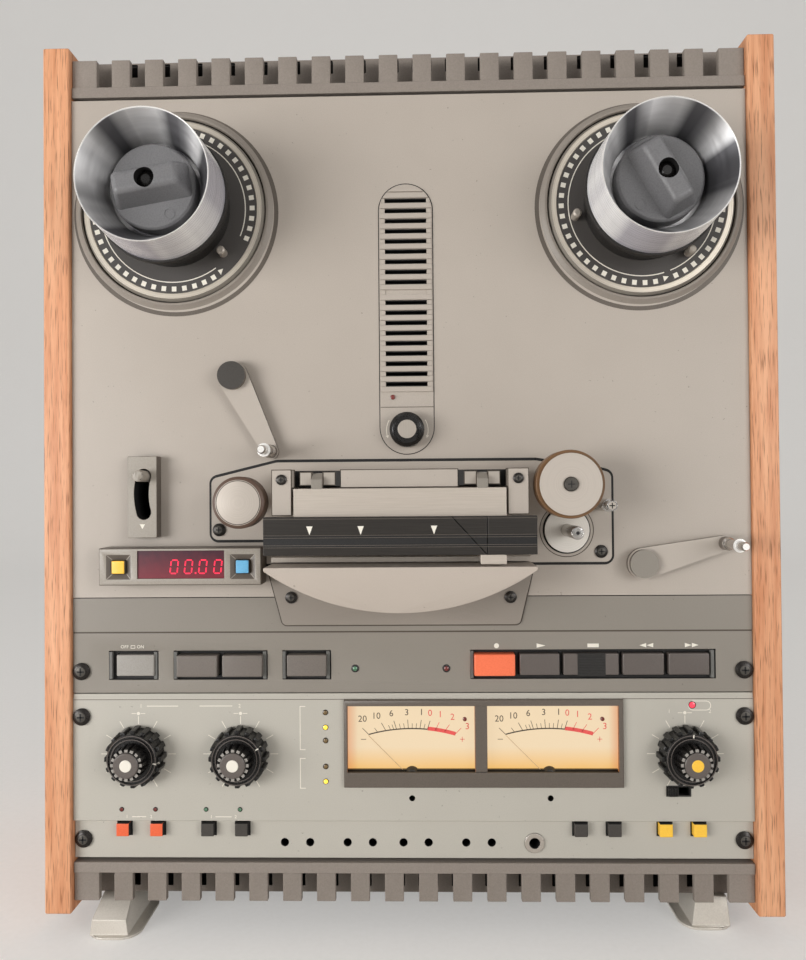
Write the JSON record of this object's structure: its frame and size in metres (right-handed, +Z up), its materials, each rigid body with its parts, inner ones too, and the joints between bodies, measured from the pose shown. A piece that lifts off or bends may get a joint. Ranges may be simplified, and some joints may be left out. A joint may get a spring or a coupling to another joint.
{
  "type": "reel to reel tape recorder",
  "caption": "Upright open-reel tape recorder with hub adapters, sprung tape arms, a swing-up head cover, lit level meters, dual level knobs and push keys in a wood-sided case.",
  "frame": {"origin": "middle of the machine's whole width and depth, on the floor it stands on", "axes": "+Z up from the floor, +X to the right seen from the front, -Y out of the front"},
  "size_m": [0.4434, 0.25, 0.5405],
  "materials": {
    "wood": "oiled walnut veneer",
    "deck_metal": "brushed, clear anodised",
    "panel_metal": "brushed, clear anodised",
    "bright_metal": "turned and polished",
    "steel": "bright plated",
    "dark_paint": "fine textured black",
    "grille_paint": "satin bronze grey",
    "zinc_steel": "zinc plated sheet",
    "black_plastic": "fine grained",
    "key_grey": "satin",
    "key_pale": "satin",
    "orange_plastic": "gloss",
    "yellow_plastic": "gloss",
    "blue_plastic": "gloss",
    "rubber": "ground",
    "needle": "matt",
    "machine_iron": "enamelled",
    "circuit": "lacquered board",
    "foot_metal": "satin silver"
  },
  "bodies": {
    "case": {"side_panels": "wood", "vent_grilles": "grille_paint", "rear_cover": "dark_paint", "chassis_frame": "zinc_steel", "deck_plate": "deck_metal", "transport_panel": "panel_metal", "amplifier_panel": "panel_metal", "deck_trim_plates": "black_plastic", "head_base_plate": "bright_metal", "tape_heads": "steel", "lower_head_cover": "deck_metal", "meter_unit": "black_plastic", "motors": "machine_iron", "electronics": "circuit", "feet": "foot_metal", "panel_screws": "steel", "sockets": "steel"},
    "supply_reel_drive": {"supply_turntable": "bright_metal", "supply_hub": "bright_metal"},
    "takeup_reel_drive": {"takeup_turntable": "bright_metal", "takeup_hub": "bright_metal"},
    "supply_hub_knob": {"supply_hub_knob": "black_plastic"},
    "takeup_hub_knob": {"takeup_hub_knob": "black_plastic"},
    "supply_tension_arm": {"supply_tension_arm": "steel"},
    "takeup_tension_arm": {"takeup_tension_arm": "steel"},
    "idler_roller": {"idler_roller": "bright_metal"},
    "capstan": {"capstan": "steel"},
    "pinch_arm": {"pinch_arm": "steel"},
    "pinch_roller": {"pinch_roller": "rubber"},
    "head_flap": {"head_flap": "bright_metal"},
    "cue_lever": {"cue_lever": "steel"},
    "pitch_knob": {"pitch_knob": "black_plastic"},
    "power_key": {"power_key": "key_pale"},
    "speed_key": {"speed_key": "key_pale"},
    "reel_size_key": {"reel_size_key": "key_pale"},
    "edit_key": {"edit_key": "key_pale"},
    "record_key": {"record_key": "orange_plastic"},
    "play_key": {"play_key": "key_grey"},
    "stop_key": {"stop_key": "key_grey"},
    "rewind_key": {"rewind_key": "key_grey"},
    "forward_key": {"forward_key": "key_grey"},
    "small_button_1": {"small_button_1": "orange_plastic"},
    "small_button_2": {"small_button_2": "orange_plastic"},
    "small_button_3": {"small_button_3": "key_grey"},
    "small_button_4": {"small_button_4": "key_grey"},
    "small_button_5": {"small_button_5": "key_grey"},
    "small_button_6": {"small_button_6": "key_grey"},
    "small_button_7": {"small_button_7": "yellow_plastic"},
    "small_button_8": {"small_button_8": "yellow_plastic"},
    "memory_button": {"memory_button": "yellow_plastic"},
    "reset_button": {"reset_button": "blue_plastic"},
    "input_1_outer_knob": {"input_1_outer_knob": "bright_metal"},
    "input_1_inner_knob": {"input_1_inner_knob": "bright_metal"},
    "input_2_outer_knob": {"input_2_outer_knob": "bright_metal"},
    "input_2_inner_knob": {"input_2_inner_knob": "bright_metal"},
    "output_outer_knob": {"output_outer_knob": "bright_metal"},
    "output_inner_knob": {"output_inner_knob": "bright_metal"},
    "slide_switch": {"slide_switch": "black_plastic"},
    "left_needle": {"left_needle": "needle"},
    "right_needle": {"right_needle": "needle"}
  },
  "joints": [
    {"name": "supply_reel_spin", "type": "hinge", "parent": "case", "child": "supply_reel_drive", "pos_m": [-0.142, -0.071, 0.4401], "axis": [0, 1, 0], "continuous": true},
    {"name": "supply_hub_lock", "type": "hinge", "parent": "supply_reel_drive", "child": "supply_hub_knob", "pos_m": [-0.142, -0.098, 0.4401], "axis": [0, 1, 0], "range_deg": [0, 75]},
    {"name": "takeup_reel_spin", "type": "hinge", "parent": "case", "child": "takeup_reel_drive", "pos_m": [0.142, -0.071, 0.4401], "axis": [0, 1, 0], "continuous": true},
    {"name": "takeup_hub_lock", "type": "hinge", "parent": "takeup_reel_drive", "child": "takeup_hub_knob", "pos_m": [0.142, -0.098, 0.4401], "axis": [0, 1, 0], "range_deg": [0, 75]},
    {"name": "supply_arm_swing", "type": "hinge", "parent": "case", "child": "supply_tension_arm", "pos_m": [-0.1054, -0.073, 0.3378], "axis": [0, 1, 0], "range_deg": [0, 45], "stiffness_Nm_per_rad": 0.05, "springref_deg": -34.38},
    {"name": "takeup_arm_swing", "type": "hinge", "parent": "case", "child": "takeup_tension_arm", "pos_m": [0.1392, -0.073, 0.2235], "axis": [0, -1, 0], "range_deg": [0, 50], "stiffness_Nm_per_rad": 0.05, "springref_deg": -34.38},
    {"name": "idler_spin", "type": "hinge", "parent": "case", "child": "idler_roller", "pos_m": [-0.0949, -0.099, 0.2619], "axis": [0, 1, 0], "continuous": true},
    {"name": "capstan_spin", "type": "hinge", "parent": "case", "child": "capstan", "pos_m": [0.0948, -0.099, 0.2435], "axis": [0, 1, 0], "continuous": true},
    {"name": "pinch_swing", "type": "hinge", "parent": "case", "child": "pinch_arm", "pos_m": [0.128, -0.059, 0.266], "axis": [0, -1, 0], "range_deg": [0, 6.5], "stiffness_Nm_per_rad": 2, "springref_deg": -11.46},
    {"name": "pinch_spin", "type": "hinge", "parent": "pinch_arm", "child": "pinch_roller", "pos_m": [0.0908, -0.099, 0.2708], "axis": [0, 1, 0], "continuous": true},
    {"name": "head_flap_swing", "type": "hinge", "parent": "case", "child": "head_flap", "pos_m": [-0.0043, -0.0985, 0.275], "axis": [-1, 0, 0], "range_deg": [0, 100]},
    {"name": "cue_swing", "type": "hinge", "parent": "case", "child": "cue_lever", "pos_m": [-0.118, -0.059, 0.2669], "axis": [0, -1, 0], "range_deg": [0, 30]},
    {"name": "pitch_turn", "type": "hinge", "parent": "case", "child": "pitch_knob", "pos_m": [-0.0004, -0.074, 0.3044], "axis": [0, 1, 0], "range_deg": [-140, 140]},
    {"name": "power_key_press", "type": "slide", "parent": "case", "child": "power_key", "axis": [0, 1, 0], "range_m": [0, 0.003], "stiffness_N_per_m": 600, "springref_m": -0.001},
    {"name": "speed_key_press", "type": "slide", "parent": "case", "child": "speed_key", "axis": [0, 1, 0], "range_m": [0, 0.003], "stiffness_N_per_m": 600, "springref_m": -0.001},
    {"name": "reel_size_key_press", "type": "slide", "parent": "case", "child": "reel_size_key", "axis": [0, 1, 0], "range_m": [0, 0.003], "stiffness_N_per_m": 600, "springref_m": -0.001},
    {"name": "edit_key_press", "type": "slide", "parent": "case", "child": "edit_key", "axis": [0, 1, 0], "range_m": [0, 0.003], "stiffness_N_per_m": 600, "springref_m": -0.001},
    {"name": "record_key_press", "type": "slide", "parent": "case", "child": "record_key", "axis": [0, 1, 0], "range_m": [0, 0.003], "stiffness_N_per_m": 600, "springref_m": -0.001},
    {"name": "play_key_press", "type": "slide", "parent": "case", "child": "play_key", "axis": [0, 1, 0], "range_m": [0, 0.003], "stiffness_N_per_m": 600, "springref_m": -0.001},
    {"name": "stop_key_press", "type": "slide", "parent": "case", "child": "stop_key", "axis": [0, 1, 0], "range_m": [0, 0.003], "stiffness_N_per_m": 600, "springref_m": -0.001},
    {"name": "rewind_key_press", "type": "slide", "parent": "case", "child": "rewind_key", "axis": [0, 1, 0], "range_m": [0, 0.003], "stiffness_N_per_m": 600, "springref_m": -0.001},
    {"name": "forward_key_press", "type": "slide", "parent": "case", "child": "forward_key", "axis": [0, 1, 0], "range_m": [0, 0.003], "stiffness_N_per_m": 600, "springref_m": -0.001},
    {"name": "small_button_1_press", "type": "slide", "parent": "case", "child": "small_button_1", "axis": [0, 1, 0], "range_m": [0, 0.0025], "stiffness_N_per_m": 500, "springref_m": -0.001},
    {"name": "small_button_2_press", "type": "slide", "parent": "case", "child": "small_button_2", "axis": [0, 1, 0], "range_m": [0, 0.0025], "stiffness_N_per_m": 500, "springref_m": -0.001},
    {"name": "small_button_3_press", "type": "slide", "parent": "case", "child": "small_button_3", "axis": [0, 1, 0], "range_m": [0, 0.0025], "stiffness_N_per_m": 500, "springref_m": -0.001},
    {"name": "small_button_4_press", "type": "slide", "parent": "case", "child": "small_button_4", "axis": [0, 1, 0], "range_m": [0, 0.0025], "stiffness_N_per_m": 500, "springref_m": -0.001},
    {"name": "small_button_5_press", "type": "slide", "parent": "case", "child": "small_button_5", "axis": [0, 1, 0], "range_m": [0, 0.0025], "stiffness_N_per_m": 500, "springref_m": -0.001},
    {"name": "small_button_6_press", "type": "slide", "parent": "case", "child": "small_button_6", "axis": [0, 1, 0], "range_m": [0, 0.0025], "stiffness_N_per_m": 500, "springref_m": -0.001},
    {"name": "small_button_7_press", "type": "slide", "parent": "case", "child": "small_button_7", "axis": [0, 1, 0], "range_m": [0, 0.0025], "stiffness_N_per_m": 500, "springref_m": -0.001},
    {"name": "small_button_8_press", "type": "slide", "parent": "case", "child": "small_button_8", "axis": [0, 1, 0], "range_m": [0, 0.0025], "stiffness_N_per_m": 500, "springref_m": -0.001},
    {"name": "memory_button_press", "type": "slide", "parent": "case", "child": "memory_button", "axis": [0, 1, 0], "range_m": [0, 0.002], "stiffness_N_per_m": 400, "springref_m": -0.001},
    {"name": "reset_button_press", "type": "slide", "parent": "case", "child": "reset_button", "axis": [0, 1, 0], "range_m": [0, 0.002], "stiffness_N_per_m": 400, "springref_m": -0.001},
    {"name": "input_1_outer_turn", "type": "hinge", "parent": "case", "child": "input_1_outer_knob", "pos_m": [-0.1652, -0.074, 0.1092], "axis": [0, 1, 0], "range_deg": [-145, 145]},
    {"name": "input_1_inner_turn", "type": "hinge", "parent": "case", "child": "input_1_inner_knob", "pos_m": [-0.1652, -0.086, 0.1092], "axis": [0, 1, 0], "range_deg": [-145, 145]},
    {"name": "input_2_outer_turn", "type": "hinge", "parent": "case", "child": "input_2_outer_knob", "pos_m": [-0.1028, -0.074, 0.1092], "axis": [0, 1, 0], "range_deg": [-145, 145]},
    {"name": "input_2_inner_turn", "type": "hinge", "parent": "case", "child": "input_2_inner_knob", "pos_m": [-0.1028, -0.086, 0.1092], "axis": [0, 1, 0], "range_deg": [-145, 145]},
    {"name": "output_outer_turn", "type": "hinge", "parent": "case", "child": "output_outer_knob", "pos_m": [0.1645, -0.074, 0.1092], "axis": [0, 1, 0], "range_deg": [-145, 145]},
    {"name": "output_inner_turn", "type": "hinge", "parent": "case", "child": "output_inner_knob", "pos_m": [0.1645, -0.086, 0.1092], "axis": [0, 1, 0], "range_deg": [-145, 145]},
    {"name": "slide_switch_move", "type": "slide", "parent": "case", "child": "slide_switch", "axis": [1, 0, 0], "range_m": [0, 0.0074]},
    {"name": "left_needle_swing", "type": "hinge", "parent": "case", "child": "left_needle", "pos_m": [0.0009, -0.067, 0.0933], "axis": [0, 1, 0], "range_deg": [0, 90], "stiffness_Nm_per_rad": 0.0002, "springref_deg": -28.65},
    {"name": "right_needle_swing", "type": "hinge", "parent": "case", "child": "right_needle", "pos_m": [0.084, -0.067, 0.0933], "axis": [0, 1, 0], "range_deg": [0, 90], "stiffness_Nm_per_rad": 0.0002, "springref_deg": -28.65}
  ]
}
